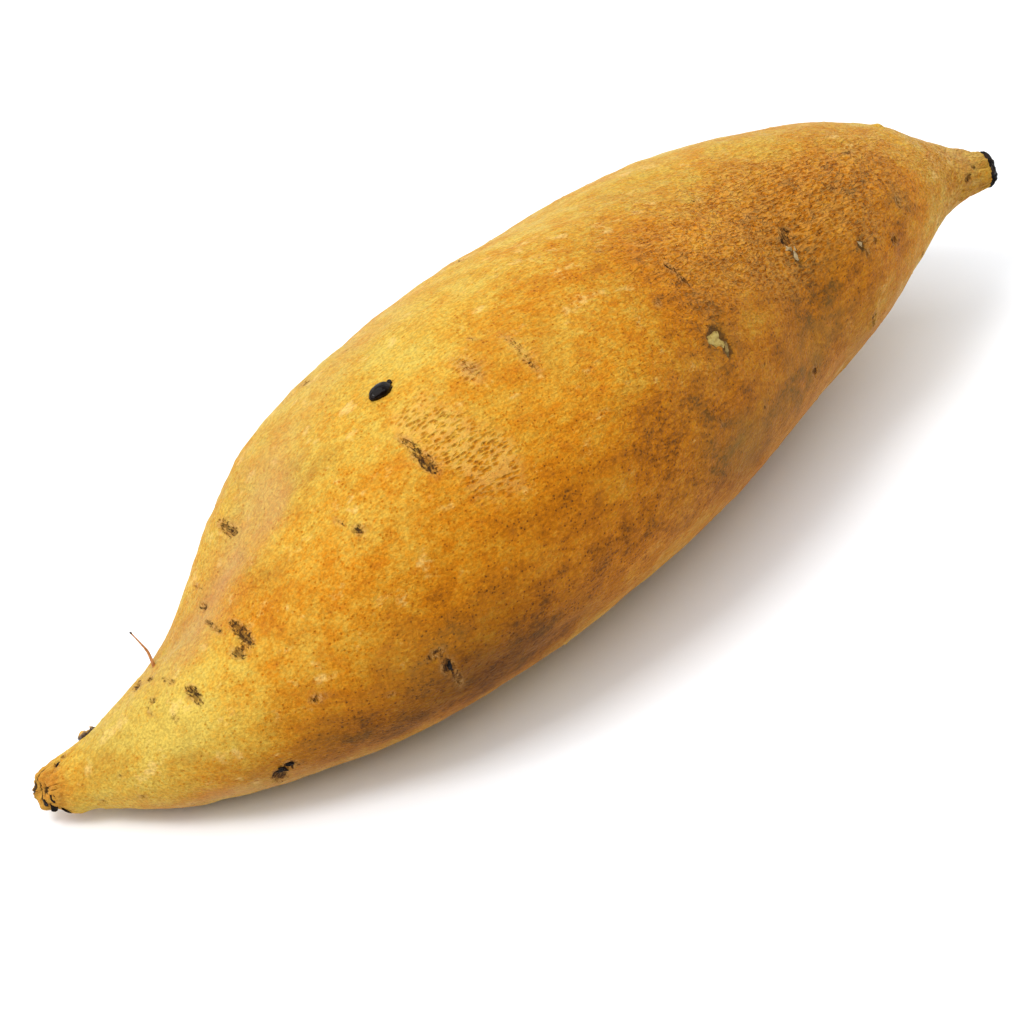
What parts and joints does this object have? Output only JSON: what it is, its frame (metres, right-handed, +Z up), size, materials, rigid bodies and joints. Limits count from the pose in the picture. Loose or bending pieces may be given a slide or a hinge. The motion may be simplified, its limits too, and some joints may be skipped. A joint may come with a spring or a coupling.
{
  "type": "sweet potato",
  "caption": "Whole roasted sweet potato in its skin: a spindle-shaped storage root with a bent, pointed root end, a raised stem end with a charred stub, and a small flat belly to rest on.",
  "frame": {"origin": "on the resting surface, under the middle of the root's bounding box", "axes": "+X along the root from the pointed root end to the charred stem end, +Z up from the resting surface, +Y to the left when looking along +X"},
  "size_m": [0.1998, 0.0648, 0.0544],
  "materials": {
    "skin": "matte golden-orange roasted skin with browner toasted patches, fine lengthwise wrinkles, pores and small dark scars",
    "char": "burnt black crust with a broken gloss, on the cut stem stub",
    "sap": "glossy bead of syrup that boiled out of the skin and set"
  },
  "bodies": {
    "root": {"sweet_potato": "skin"}
  },
  "joints": []
}
